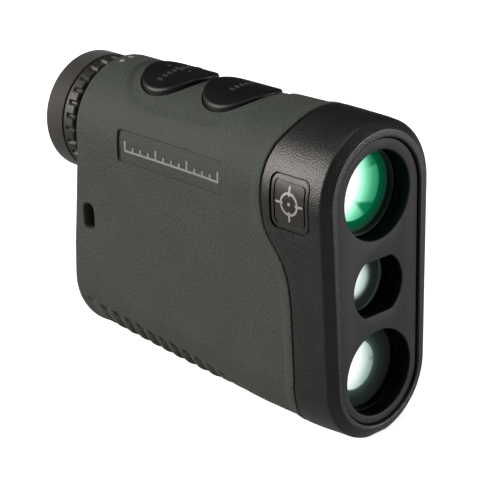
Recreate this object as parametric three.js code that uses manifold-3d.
// Hand-held monocular laser rangefinder.
// Millimetres. +X is the user's left, -Y is the direction the lenses look,
// +Z is up. The working datum has y = 0 on the face of the front plate and
// the sight axis at z = Z_SIGHT; the whole group is moved at the end so that
// its origin is the bottom centre of its bounding box.

import * as THREE from 'three';
import { mergeVertices } from 'three/addons/utils/BufferGeometryUtils.js';
import Module from 'manifold-3d';

const wasm = await Module();
wasm.setup();

// ---------------------------------------------------------------- dimensions
const Z_SIGHT = 62.03;        // sight (objective and eyepiece) axis
const Z_EMIT = 40.2;          // laser emitter axis
const Z_RECV = 19.0;          // laser receiver axis

const Y_RIM = -0.7;           // foremost rim of the bezel
const Y_END = 99.0;           // rear rim of the eyecup
const Y_BACK = 85.65;         // rear face of the body around the eyepiece
const Y_REAR_IN = 83.3;       // inner face of the rear wall

const FLAT_DEG = 20;          // half angle of the flat strip underneath
const BODY_WALL = 2.2;
const BEZEL_WALL = 1.6;
const SEAM_GAP = 0.12;        // half the gap between bezel and body

const OBJ_HOLE_R = 10.53;
const RECV_HOLE_R = 10.42;
const EMIT_HOLE_R = 7.9;
const EMIT_HALF_H = 6.6;

const BUTTON_R = 9.3;         // both buttons are round in plan
const BUTTON_GAP = 0.35;
const MEASURE_Y = 64.4;
const MENU_Y = 42.8;
const BUTTON_TRAVEL = 0.8;

const BATTERY_Z = 28.0;
const BATTERY_R = 7.8;        // CR2 cell, 15.6 x 27
const HINGE_Y = 89.2;
const HINGE_Z = 15.9;
const PIN_R = 0.6;
const KNUCKLE_R = 1.35;

const DIOPTER_R = 15.0;
const DIOPTER_NOTCHES = 28;
const CELL_TRAVEL = 1.2;      // ocular cell, each way

// Outer section of the body: y, top radius, bottom radius, bottom centre.
const BODY = [
  [8, 17.3, 16.1, 19.0], [20, 17.3, 16.05, 19.0], [28, 17.15, 16.0, 19.15],
  [34, 17.0, 16.0, 19.6], [39, 16.6, 16.0, 20.0], [48, 16.35, 16.0, 20.7],
  [58, 16.2, 16.0, 21.4], [71, 16.25, 16.1, 22.6], [81, 16.3, 16.15, 23.25],
  [88.4, 16.3, 16.15, 23.5], [89.4, 16.2, 15.8, 23.6], [90.4, 15.6, 14.9, 24.0],
];
// Outer section of the bezel.
const BEZEL = [
  [Y_RIM, 15.15, 13.85, 19.0], [1.05, 17.4, 16.1, 19.0], [4, 17.6, 16.2, 19.0],
  [10, 17.7, 16.55, 19.0], [24, 17.8, 16.55, 19.0],
];
// Seam between bezel and body, seen from the side: y, z from top to bottom.
const SEAM = [
  [16.1, 90], [16.1, 79.2], [16.6, 77.4], [17.3, 75.6], [18.3, 73.6],
  [19.0, 70.5], [19.35, 66.0], [19.4, 60.0], [19.0, 56.0], [18.0, 53.4],
  [16.5, 51.5], [14.9, 49.7], [13.4, 47.5], [12.2, 44.7], [11.4, 41.0],
  [11.1, 36.0], [11.1, 19.0], [11.6, 14.5], [12.3, 10.5], [13.4, 6.5],
  [14.2, 3.0], [14.2, -6],
];
// Rear face of the body, seen from the side.
const REAR = [
  [Y_BACK, 90], [Y_BACK, 59.0], [86.15, 54.5], [87.1, 46.4], [90.05, 23.0],
  [90.3, 20.5], [90.3, -6],
];

// ------------------------------------------------------------------- helpers
const toManifold = (geometry) => {
  const g = geometry.clone();
  g.deleteAttribute('normal');
  g.deleteAttribute('uv');
  const m = mergeVertices(g, 2e-4);
  const p = m.attributes.position.array;
  const src = m.index.array;
  let tri = [];
  let volume = 0;
  for (let i = 0; i < src.length; i += 3) {
    const [a, b, c] = [src[i], src[i + 1], src[i + 2]];
    if (a === b || b === c || a === c) continue;
    tri.push(a, b, c);
    const [ax, ay, az] = [p[3 * a], p[3 * a + 1], p[3 * a + 2]];
    const [bx, by, bz] = [p[3 * b], p[3 * b + 1], p[3 * b + 2]];
    const [cx, cy, cz] = [p[3 * c], p[3 * c + 1], p[3 * c + 2]];
    volume += ax * (by * cz - bz * cy) + ay * (bz * cx - bx * cz) + az * (bx * cy - by * cx);
  }
  if (volume < 0) {
    for (let i = 0; i < tri.length; i += 3) [tri[i + 1], tri[i + 2]] = [tri[i + 2], tri[i + 1]];
  }
  return new wasm.Manifold(new wasm.Mesh({
    numProp: 3,
    vertProperties: new Float32Array(p),
    triVerts: new Uint32Array(tri),
  }));
};

const toGeometry = (manifold) => {
  const mesh = manifold.getMesh();
  const n = mesh.numProp;
  const count = mesh.vertProperties.length / n;
  const position = new Float32Array(count * 3);
  for (let i = 0; i < count; i += 1) {
    for (let k = 0; k < 3; k += 1) position[3 * i + k] = mesh.vertProperties[n * i + k];
  }
  const g = new THREE.BufferGeometry();
  g.setAttribute('position', new THREE.BufferAttribute(position, 3));
  g.setIndex(new THREE.BufferAttribute(new Uint32Array(mesh.triVerts), 1));
  return g;
};

const V = (x, y, z) => new THREE.Vector3(x, y, z);
const BASIS_X = new THREE.Matrix4().makeBasis(V(0, 1, 0), V(0, 0, 1), V(1, 0, 0));
const BASIS_Y = new THREE.Matrix4().makeBasis(V(1, 0, 0), V(0, 0, 1), V(0, -1, 0));
const polygon = (points) => new THREE.Shape(points.map(([a, b]) => new THREE.Vector2(a, b)));
const extrude = (shape, depth, curveSegments = 8) =>
  new THREE.ExtrudeGeometry(shape, { depth, steps: 1, bevelEnabled: false, curveSegments });

// Prisms along each axis. Shapes are drawn in (y, z), (x, z) and (x, y).
const prismX = (shape, x0, x1, s) => toManifold(extrude(shape, x1 - x0, s).applyMatrix4(BASIS_X).translate(x0, 0, 0));
const prismY = (shape, y0, y1, s) => toManifold(extrude(shape, y1 - y0, s).applyMatrix4(BASIS_Y).translate(0, y1, 0));
const prismZ = (shape, z0, z1, s) => toManifold(extrude(shape, z1 - z0, s).translate(0, 0, z0));

const box = (x0, x1, y0, y1, z0, z1) =>
  toManifold(new THREE.BoxGeometry(x1 - x0, y1 - y0, z1 - z0).translate((x0 + x1) / 2, (y0 + y1) / 2, (z0 + z1) / 2));
const cylY = (r, y0, y1, cx, cz, seg = 24) =>
  toManifold(new THREE.CylinderGeometry(r, r, y1 - y0, seg).translate(cx, (y0 + y1) / 2, cz));
const cylX = (r, x0, x1, cy, cz, seg = 16) =>
  toManifold(new THREE.CylinderGeometry(r, r, x1 - x0, seg).rotateZ(Math.PI / 2).translate((x0 + x1) / 2, cy, cz));
const cylZ = (r, z0, z1, cx, cy, seg = 24) =>
  toManifold(new THREE.CylinderGeometry(r, r, z1 - z0, seg).rotateX(Math.PI / 2).translate(cx, cy, (z0 + z1) / 2));

// Turned part about a line parallel to Y; the profile is (radius, y).
const turned = (profile, cz, seg = 24, cx = 0) => {
  const pts = profile.map(([r, y]) => new THREE.Vector2(r, y));
  const onAxis = profile[0][0] === 0 && profile[profile.length - 1][0] === 0;
  if (!onAxis) pts.push(pts[0].clone());
  return toManifold(new THREE.LatheGeometry(pts, seg).translate(cx, 0, cz));
};
const tubeY = (r0, r1, y0, y1, cz, seg = 24) => turned([[r0, y0], [r1, y0], [r1, y1], [r0, y1]], cz, seg);

// Stadium section: a large arc above, a smaller arc with a flat strip below.
const stadium = (rt, rb, zt, zb, seg = 16, flat = FLAT_DEG) => {
  const pts = [];
  for (let i = 0; i <= seg; i += 1) {
    const a = (Math.PI * i) / seg;
    pts.push([rt * Math.cos(a), zt + rt * Math.sin(a)]);
  }
  const f = THREE.MathUtils.degToRad(flat);
  const half = Math.max(3, Math.round(seg / 2) - 1);
  for (let i = 0; i <= half; i += 1) {
    const a = Math.PI + ((Math.PI / 2 - f) * i) / half;
    pts.push([rb * Math.cos(a), zb + rb * Math.sin(a)]);
  }
  for (let i = 0; i <= half; i += 1) {
    const a = 1.5 * Math.PI + f + ((Math.PI / 2 - f) * i) / half;
    pts.push([rb * Math.cos(a), zb + rb * Math.sin(a)]);
  }
  return pts;
};
// A unit stadium is extruded with one step per station, then each ring of
// vertices is set to its station's radii, inset by `inset`.
const loft = (stations, inset = 0, seg = 16) => {
  const unit = stadium(1, 1, 2, -2, seg);
  const g = new THREE.ExtrudeGeometry(polygon(unit), { depth: stations.length - 1, steps: stations.length - 1, bevelEnabled: false });
  const p = g.attributes.position;
  for (let i = 0; i < p.count; i += 1) {
    const [y, rt, rb, zb] = stations[Math.round(p.getZ(i))];
    const [a, b] = [p.getX(i), p.getY(i)];
    if (b > 0) p.setXYZ(i, a * (rt - inset), y, Z_SIGHT + (b - 2) * (rt - inset));
    else p.setXYZ(i, a * (rb - inset), y, zb + (b + 2) * (rb - inset));
  }
  return toManifold(g);
};
const at = (stations, y) => {
  for (let i = 1; i < stations.length; i += 1) {
    if (y <= stations[i][0] || i === stations.length - 1) {
      const [s, e] = [stations[i - 1], stations[i]];
      const t = (y - s[0]) / (e[0] - s[0]);
      return s.map((v, k) => v + (e[k] - v) * t);
    }
  }
  return stations[0];
};
const span = (stations, y0, y1) => [at(stations, y0), ...stations.filter((s) => s[0] > y0 + 0.2 && s[0] < y1 - 0.2), at(stations, y1)];

const circleShape = (r, cx, cz) => { const s = new THREE.Shape(); s.absarc(cx, cz, r, 0, 2 * Math.PI); return s; };
const roundRect = (x0, x1, y0, y1, r) => {
  const s = new THREE.Shape();
  s.moveTo(x0 + r, y0);
  s.lineTo(x1 - r, y0); s.absarc(x1 - r, y0 + r, r, -Math.PI / 2, 0);
  s.lineTo(x1, y1 - r); s.absarc(x1 - r, y1 - r, r, 0, Math.PI / 2);
  s.lineTo(x0 + r, y1); s.absarc(x0 + r, y1 - r, r, Math.PI / 2, Math.PI);
  s.lineTo(x0, y0 + r); s.absarc(x0 + r, y0 + r, r, Math.PI, 1.5 * Math.PI);
  return s;
};
// Round aperture with straight edges above and below.
const slotted = (r, halfH, cz, seg = 6) => {
  const a = Math.asin(halfH / r);
  const pts = [];
  for (let i = 0; i <= seg; i += 1) { const t = -a + (2 * a * i) / seg; pts.push([r * Math.cos(t), cz + r * Math.sin(t)]); }
  for (let i = 0; i <= seg; i += 1) { const t = Math.PI - a + (2 * a * i) / seg; pts.push([r * Math.cos(t), cz + r * Math.sin(t)]); }
  return pts;
};
// Lens about a line parallel to Y, given its edge and apex positions.
const lens = (r, yEdge0, yApex0, yEdge1, yApex1, cz, seg = 20) => {
  const pts = [];
  const n = 2;
  for (let i = 0; i <= n; i += 1) { const t = i / n; pts.push([r * t, yApex0 + (yEdge0 - yApex0) * t * t]); }
  for (let i = n; i >= 0; i -= 1) { const t = i / n; pts.push([r * t, yApex1 + (yEdge1 - yApex1) * t * t]); }
  return turned(pts, cz, seg);
};
const screwY = (x, z, yHead, headR, headL, shaftR, length) => {
  let s = turned([[0, yHead], [headR, yHead], [headR, yHead + headL], [shaftR, yHead + headL], [shaftR, yHead + length], [0, yHead + length]], z, 8, x);
  return s.subtract(box(x - headR * 0.7, x + headR * 0.7, yHead - 1, yHead + 0.4, z - 0.2, z + 0.2));
};

const group = new THREE.Group();
const add = (name, manifold, color, roughness, metalness = 0) => {
  const mesh = new THREE.Mesh(toGeometry(manifold), new THREE.MeshStandardMaterial({ color, roughness, metalness }));
  mesh.name = name;
  group.add(mesh);
  return mesh;
};

const GREEN = 0x4b5048, BLACK = 0x24231f, SATIN = 0x33312e, RUBBER = 0x3a3634;
const GLASS = 0x9fd8c0, METAL = 0xb8bcc0, DARK = 0x1c1c1e, BOARD = 0x1f5b35, GOLD = 0xc8a24a, STEEL = 0x9a9da0;

// --------------------------------------------------------------- body shell
const aheadOfSeam = polygon([[-40, -6], [-40, 90], ...SEAM.map(([y, z]) => [y - SEAM_GAP, z])]);
const behindSeam = polygon([...SEAM.map(([y, z]) => [y + SEAM_GAP, z]).reverse(), [140, 90], [140, -6]].reverse());
const beforeRear = polygon([[-40, -6], [-40, 90], ...REAR]);

const CAVITY = [8, 20, 39, 58, Y_REAR_IN].map((y) => at(BODY, y));
const bodyOuter = loft(BODY, 0, 14)
  .intersect(prismX(behindSeam, -30, 30))
  .intersect(prismX(beforeRear, -30, 30));
const cavity = loft(CAVITY, BODY_WALL, 10);
let body = bodyOuter.subtract(cavity);

// Tongue that the bezel slides over.
const TONGUE = [6, 23].map((y) => at(BEZEL, y));
body = body.add(loft(TONGUE, BEZEL_WALL + 0.3, 10).subtract(loft(TONGUE.map((s, i) => [s[0] + (i === 0 ? -1 : i === TONGUE.length - 1 ? 1 : 0), ...s.slice(1)]), BEZEL_WALL + 1.45, 10)));

// Lanyard slot straight through the body, with its own duct.
body = body.add(box(-15.6, 15.6, 79.4, 84.2, 36.8, 45.6).intersect(loft([78, 90].map((y) => at(BODY, y)), 0.6, 12)));
body = body.subtract(prismX(roundRect(80.6, 84.2, 37.9, 44.5, 1.7), -30, 30, 3));

// Board bosses on the user's left.
for (const y of [30, 70]) body = body.add(cylX(1.9, 11.9, 15.3, y, 44, 8));
for (const y of [30, 70]) body = body.subtract(cylX(0.75, 8, 14.4, y, 44, 8));

// Eyepiece seat and bore.
body = body.subtract(cylY(15.5, Y_BACK, 95, 0, Z_SIGHT, 24));
body = body.subtract(cylY(12.4, 80, 95, 0, Z_SIGHT, 22));

// Button openings.
for (const y of [MEASURE_Y, MENU_Y]) body = body.subtract(cylZ(BUTTON_R + BUTTON_GAP, 66, 90, 0, y, 24));

// Battery door pocket, bore, seal groove and hinge clearance.
const doorOutline = (grow) => {
  const s = new THREE.Shape();
  const [r, z0] = [10.6 + grow, 17.6 - grow];
  s.moveTo(-r, z0);
  s.lineTo(r, z0);
  s.lineTo(r, BATTERY_Z);
  s.absarc(0, BATTERY_Z, r, 0, Math.PI);
  s.lineTo(-r, z0);
  return s;
};
body = body.subtract(prismY(doorOutline(0.3), 85.3, 100, 10));
body = body.subtract(cylY(8.45, 80, 90, 0, BATTERY_Z, 20));
body = body.subtract(tubeY(8.95, 10.05, 84.7, 86, BATTERY_Z, 20));
body = body.subtract(cylX(KNUCKLE_R + 0.35, -5.3, 5.3, HINGE_Y, HINGE_Z, 12));
body = body.subtract(box(-5.3, 5.3, HINGE_Y - KNUCKLE_R - 0.35, 100, HINGE_Z, 19));
body = body.subtract(box(-5.3, 5.3, HINGE_Y, 100, HINGE_Z - KNUCKLE_R - 0.35, HINGE_Z + 0.1));
body = body.subtract(cylX(PIN_R + 0.06, -9.2, 9.2, HINGE_Y, HINGE_Z, 12));
// The door's lower edge sweeps over the rear corner under its pocket.
body = body.subtract(box(-10.9, 10.9, 89.35, 100, 16.95, 17.5));
// Finger scallop above the door.
body = body.subtract(toManifold(new THREE.SphereGeometry(4.0, 12, 8).translate(0, 90.6, 40.2)));
add('body_shell', body, GREEN, 0.85);

// -------------------------------------------------------------- front bezel
const plateOutline = (grow, seg = 16) => polygon(stadium(13.1 + grow, 12.25 + grow, Z_SIGHT, Z_RECV, seg, 2));
let bezel = loft(BEZEL, 0, 14).intersect(prismX(aheadOfSeam, -30, 30));
bezel = bezel.subtract(prismY(plateOutline(0.25, 14), -3, 2.0));
bezel = bezel.subtract(loft([at(BEZEL, 4.0), [10, ...at(BEZEL, 10).slice(1)], [30, ...at(BEZEL, 24).slice(1)]], BEZEL_WALL, 12));
bezel = bezel.subtract(cylY(12.0, 0, 10, 0, Z_SIGHT, 20));
bezel = bezel.subtract(cylY(11.8, 0, 10, 0, Z_RECV, 20));
bezel = bezel.subtract(cylY(8.75, 0, 10, 0, Z_EMIT, 16));
const SCREWS = [[-10.7, 47.0, 'upper_right'], [10.7, 47.0, 'upper_left'], [-10.7, 33.4, 'lower_right'], [10.7, 33.4, 'lower_left']];
for (const [x, z] of SCREWS) bezel = bezel.subtract(cylY(1.0, 0, 10, x, z, 8)).subtract(cylY(1.95, 0, 3.2, x, z, 10));
// Badge recess on each flank.
const BADGE = { y0: 4.2, y1: 16.5, z0: 55.7, z1: 68.7, depth: 0.85 };
const badgeShape = (shrink, r) => roundRect(BADGE.y0 + shrink, BADGE.y1 - shrink, BADGE.z0 + shrink, BADGE.z1 - shrink, r);
bezel = bezel.subtract(prismX(badgeShape(0, 2.2), -30, 30, 2).subtract(loft(span(BEZEL, 2, 23), BADGE.depth, 14)));
add('front_bezel', bezel, SATIN, 0.6);

for (const [side, sx] of [['right', -1], ['left', 1]]) {
  const slab = prismX(badgeShape(0.25, 2.0), sx < 0 ? -30 : 5, sx < 0 ? -5 : 30, 2)
    .intersect(loft(span(BEZEL, 2, 23), 0.12, 14))
    .subtract(loft(span(BEZEL, 2, 23), BADGE.depth - 0.25, 14));
  add(`badge_plate_${side}`, slab, BLACK, 0.45);
}

// -------------------------------------------------------------- front plate
let plate = prismY(plateOutline(0, 14), 0, 1.8);
plate = plate.subtract(cylY(OBJ_HOLE_R, -2, 4, 0, Z_SIGHT, 28));
plate = plate.subtract(cylY(RECV_HOLE_R, -2, 4, 0, Z_RECV, 28));
plate = plate.subtract(prismY(polygon(slotted(EMIT_HOLE_R, EMIT_HALF_H, Z_EMIT)), -2, 4));
add('front_plate', plate, SATIN, 0.5);

for (const [x, z, where] of SCREWS) add(`bezel_screw_${where}`, screwY(x, z, 2.05, 1.75, 1.0, 0.7, 8.2), STEEL, 0.35, 1);

// ------------------------------------------------------------------ chassis
let chassis = prismY(polygon(stadium(14.2, 13.05, Z_SIGHT, Z_RECV, 10)), 12.5, 15.0);
for (const [x, z] of SCREWS) chassis = chassis.add(cylY(2.1, 4.25, 13, x, z, 8));
chassis = chassis
  .subtract(cylY(12.1, 0, 20, 0, Z_SIGHT, 20))
  .subtract(cylY(11.9, 0, 20, 0, Z_RECV, 20))
  .subtract(cylY(8.8, 0, 20, 0, Z_EMIT, 16));
for (const [x, z] of SCREWS) chassis = chassis.subtract(cylY(0.85, 0, 11.5, x, z, 8));
// Arm that reaches back to the prism box.
chassis = chassis.add(box(-9.6, 9.6, 14.5, 16.2, 49.0, 49.9));
add('chassis', chassis, DARK, 0.7);

// ---------------------------------------------------------------- objective
add('objective_barrel', turned([
  [10.75, 2.05], [11.75, 2.05], [11.75, 16], [10.4, 18], [9.4, 36], [8.4, 36], [9.2, 12], [9.6, 9.4], [10.75, 9.4],
], Z_SIGHT, 18), DARK, 0.6, 0.4);
add('objective_retainer', tubeY(9.75, 10.6, 3.6, 5.0, Z_SIGHT, 18), BLACK, 0.4, 0.5);
add('objective_lens', lens(10.5, 5.35, 4.55, 7.6, 9.0, Z_SIGHT, 18), GLASS, 0.05);

// ------------------------------------------------------------------ emitter
add('emitter_barrel', turned([
  [7.6, 2.05], [8.4, 2.05], [8.4, 16], [6.2, 24], [6.2, 29.5], [2.0, 29.5], [2.0, 28.5], [5.2, 28.5], [5.2, 23.6], [6.6, 9.6], [7.6, 9.6],
], Z_EMIT, 16), DARK, 0.6, 0.4);
add('emitter_lens', lens(7.4, 5.9, 5.0, 8.8, 8.9, Z_EMIT, 18), GLASS, 0.05);
add('laser_diode', turned([[0, 29.8], [2.3, 29.8], [2.3, 32.6], [2.8, 32.6], [2.8, 33.8], [0, 33.8]], Z_EMIT, 12), GOLD, 0.3, 1);
add('laser_board', box(-6.5, 6.5, 34.0, 35.0, 34.2, 46.2), BOARD, 0.6);

// ----------------------------------------------------------------- receiver
add('receiver_barrel', turned([
  [10.65, 2.05], [11.5, 2.05], [11.5, 16], [6.5, 38], [6.5, 40], [4.4, 40], [4.4, 38.6], [5.6, 37.4], [9.9, 14], [9.9, 9.6], [10.65, 9.6],
], Z_RECV, 18), DARK, 0.6, 0.4);
add('receiver_retainer', tubeY(9.6, 10.5, 3.6, 5.0, Z_RECV, 18), BLACK, 0.4, 0.5);
add('receiver_lens', lens(10.4, 5.35, 4.5, 7.6, 9.0, Z_RECV, 18), GLASS, 0.05);
add('photodiode', turned([[0, 40.3], [3.9, 40.3], [3.9, 42.6], [4.4, 42.6], [4.4, 43.4], [0, 43.4]], Z_RECV, 12), GOLD, 0.3, 1);
add('receiver_board', box(-8.5, 8.5, 43.7, 44.7, 13.5, 30.5), BOARD, 0.6);

// -------------------------------------------------- prisms and display
let prismBox = box(-9.4, 9.4, 38, 66, 53.4, 69.4).subtract(box(-7.0, 7.0, 37, 64.6, 55.4, 68.0)).subtract(cylY(5.6, 64, 67, 0, Z_SIGHT, 14));
add('prism_holder', prismBox, DARK, 0.7);
add('wedge_prism', prismX(polygon([[40, 55.8], [49.2, 55.8], [44.6, 67.6], [40, 67.6]]), -6.6, 6.6), GLASS, 0.05);
add('roof_prism', prismX(polygon([[50.2, 55.8], [59.5, 55.8], [62, 59.5], [62, 67.6], [45.6, 67.6]]), -6.6, 6.6), GLASS, 0.05);
add('reticle_display', box(-7.6, 7.6, 66.4, 67.8, 55.0, 69.0), 0x5a6a66, 0.15);

// ----------------------------------------------------------------- eyepiece
let tube = turned([
  [10.65, 80.6], [13.5, 80.6], [13.5, 83.0], [12.0, 83.0], [12.0, 89.5], [11.45, 89.5], [11.45, 90.7],
  [12.0, 90.7], [12.0, 94.5], [11.4, 94.5], [11.4, 95.6], [10.65, 95.6],
], Z_SIGHT, 20);
tube = tube.subtract(box(-1.15, 1.15, 79, 97, Z_SIGHT - 11.2, Z_SIGHT - 9));
add('eyepiece_tube', tube, DARK, 0.5, 0.3);
let cell = turned([
  [8.0, 82.8], [10.4, 82.8], [10.4, 94.0], [8.95, 94.0], [8.95, 83.8], [8.0, 83.8],
], Z_SIGHT, 20);
cell = cell.add(box(-0.95, 0.95, 83.5, 93.4, Z_SIGHT - 11.0, Z_SIGHT - 10.0));
add('ocular_cell', cell, DARK, 0.5, 0.3);
add('field_lens', lens(8.75, 84.5, 84.05, 86.2, 86.6, Z_SIGHT, 18), GLASS, 0.05);
add('lens_spacer', tubeY(7.9, 8.7, 86.8, 88.9, Z_SIGHT, 18), BLACK, 0.6);
add('eye_lens', lens(8.75, 89.7, 89.1, 91.6, 92.8, Z_SIGHT, 18), GLASS, 0.05);
add('ocular_retainer', tubeY(8.0, 8.7, 92.3, 93.6, Z_SIGHT, 18), BLACK, 0.4, 0.5);
add('eyepiece_o_ring', turned([
  [11.62, 90.1], [11.75, 89.72], [12.05, 89.72], [12.12, 90.1], [12.05, 90.48], [11.75, 90.48],
], Z_SIGHT, 20), RUBBER, 0.8);

let ring = turned([
  [12.25, 85.95], [13.6, 85.95], [13.6, 87.9], [14.6, 88.1], [DIOPTER_R, 88.5], [DIOPTER_R, 91.7], [14.7, 92.05], [13.2, 92.05], [13.2, 94.25], [12.25, 94.25],
], Z_SIGHT, DIOPTER_NOTCHES);
{
  let cutters = null;
  for (let i = 0; i < DIOPTER_NOTCHES; i += 1) {
    const a = (2 * Math.PI * (i + 0.5)) / DIOPTER_NOTCHES;
    const c = toManifold(new THREE.BoxGeometry(1.5, 4.0, 1.6).translate(0, 88.6, 15.0).rotateY(a).translate(0, 0, Z_SIGHT));
    cutters = cutters ? cutters.add(c) : c;
  }
  ring = ring.subtract(cutters);
}
add('diopter_ring', ring, BLACK, 0.6);
let clip = tubeY(11.6, 12.85, 94.72, 95.3, Z_SIGHT, 16).subtract(box(-2.2, 2.2, 94, 96, Z_SIGHT - 14, Z_SIGHT - 8));
add('eyepiece_clip', clip, STEEL, 0.3, 1);
add('eyecup', turned([
  [13.35, 92.3], [15.0, 92.3], [15.0, 98.4], [14.4, Y_END], [13.7, 98.8],
  [13.0, 97.9], [9.6, 97.1], [9.6, 96.3], [13.35, 96.3],
], Z_SIGHT, 28), RUBBER, 0.85);

// ------------------------------------------------------------------ buttons
const aboutSight = (r0, r1, y0, y1) => turned([[r0, y0], [r1, y0], [r1, y1], [r0, y1]], Z_SIGHT, 48);
for (const [name, y] of [['measure', MEASURE_Y], ['menu', MENU_Y]]) {
  const top = at(BODY, y)[1] + 0.65;
  const under = Math.min(at(BODY, y - 10.3)[1], at(BODY, y + 10.3)[1]) - BODY_WALL;
  const upper = box(-20, 20, y - 14, y + 14, Z_SIGHT + 5, 90);
  let cap = cylZ(BUTTON_R, 66, 90, 0, y, 24).intersect(aboutSight(under - 1.2, top, y - 14, y + 14)).intersect(upper);
  cap = cap.subtract(cylZ(BUTTON_R - 1.5, 60, Z_SIGHT + 14.8, 0, y, 12));
  const flange = cylZ(BUTTON_R + 0.95, 66, 90, 0, y, 16).intersect(aboutSight(under - 1.2, under - 0.4, y - 14, y + 14)).intersect(upper)
    .subtract(cylZ(BUTTON_R - 1.5, 60, 90, 0, y, 12));
  cap = cap.add(flange);
  add(`${name}_button`, cap, 0x17171a, 0.5);
  add(`${name}_plunger`, cylZ(1.1, 72.6, Z_SIGHT + 14.5, 0, y, 10), BLACK, 0.6);
  add(`${name}_switch`, box(-2.8, 2.8, y - 2.8, y + 2.8, 71.6, 73.4).subtract(cylZ(1.35, 71.75, 80, 0, y, 10)), STEEL, 0.4, 0.8);
}
add('button_board', box(-4.6, 4.6, 37.5, 70, 70.5, 71.3), BOARD, 0.6);

// -------------------------------------------------------------- electronics
let board = box(10.6, 11.6, 20, 76, 24.5, 49).add(box(9.4, 10.8, 40, 50, 41.2, 48.2)).add(box(9.7, 10.8, 22, 28, 32, 38));
for (const y of [30, 70]) board = board.subtract(cylX(0.85, 8, 13, y, 44, 8));
add('main_board', board, BOARD, 0.6);
for (const [name, y] of [['front', 30], ['rear', 70]]) {
  const s = cylX(1.4, 9.4, 10.4, y, 44, 8).add(cylX(0.6, 10.2, 13.8, y, 44, 8));
  add(`board_screw_${name}`, s, STEEL, 0.35, 1);
}
const flexPath = new THREE.CatmullRomCurve3([V(4.9, 68.2, 70.9), V(7.4, 68.2, 70.3), V(9.3, 68.2, 69.0), V(10.5, 68.2, 66.6), V(11.1, 68.2, 63.0), V(11.2, 68.2, 57.0), V(11.1, 68.2, 49.4)]);
add('flex_cable', toManifold(new THREE.ExtrudeGeometry(
  polygon([[-1.5, -0.15], [1.5, -0.15], [1.5, 0.15], [-1.5, 0.15]]), { extrudePath: flexPath, steps: 10, bevelEnabled: false })), 0xb07a3a, 0.5);

// ------------------------------------------------------------------ battery
let sleeve = turned([[0, 51.4], [9.1, 51.4], [9.1, 82.9], [8.2, 82.9], [8.2, 52.8], [0, 52.8]], BATTERY_Z, 20);
sleeve = sleeve.subtract(box(-3, 3, 56, 76, BATTERY_Z + 5, BATTERY_Z + 12)).subtract(box(-6, 6, 79.0, 84, 36.4, 40));
add('battery_sleeve', sleeve, DARK, 0.7);
add('battery', turned([[0, 57.9], [7.4, 57.9], [BATTERY_R, 58.3], [BATTERY_R, 83.3], [7.3, 83.9], [3.2, 83.9], [3.2, 84.8], [0, 84.8]], BATTERY_Z, 20), 0x4a5a6a, 0.4, 0.5);
{
  const pts = [];
  const turns = 2.5;
  for (let i = 0; i <= 24; i += 1) {
    const t = i / 24;
    const a = 2 * Math.PI * turns * t;
    const r = 5.6 - 2.2 * t;
    pts.push(V(r * Math.cos(a), 53.4 + 4.0 * t, BATTERY_Z + r * Math.sin(a)));
  }
  const wire = new THREE.Shape();
  wire.absarc(0, 0, 0.3, 0, 2 * Math.PI);
  add('battery_spring', toManifold(new THREE.ExtrudeGeometry(wire, { extrudePath: new THREE.CatmullRomCurve3(pts), steps: 26, bevelEnabled: false, curveSegments: 2 })), METAL, 0.3, 1);
}
const doorBlank = prismY(doorOutline(0), 85.75, 100, 10).intersect(loft(span(BODY, 80, 90.5), 0, 14)).intersect(prismX(beforeRear, -30, 30));
let door = doorBlank.add(cylX(KNUCKLE_R, -5.0, 5.0, HINGE_Y, HINGE_Z, 12)).add(box(-5.0, 5.0, HINGE_Y - 1.1, HINGE_Y + 0.95, HINGE_Z, 18.4));
door = door.subtract(cylX(PIN_R + 0.06, -6, 6, HINGE_Y, HINGE_Z, 12));
door = door.subtract(toManifold(new THREE.SphereGeometry(3.4, 12, 8).translate(0, 91.2, 37.4)));
add('battery_door', door, GREEN, 0.85);
add('door_contact', cylY(4.2, 85.15, 85.5, 0, BATTERY_Z, 12), METAL, 0.25, 1);
add('door_seal', tubeY(9.2, 9.75, 84.95, 85.55, BATTERY_Z, 20), RUBBER, 0.85);
add('door_pin', cylX(PIN_R, -9.0, 9.0, HINGE_Y, HINGE_Z, 12), STEEL, 0.3, 1);

// Origin at the bottom centre of the bounding box.
const bounds = new THREE.Box3().setFromObject(group);
const centre = bounds.getCenter(new THREE.Vector3());
group.position.set(-centre.x, -centre.y, -bounds.min.z);
group.updateMatrixWorld(true);

export default group;
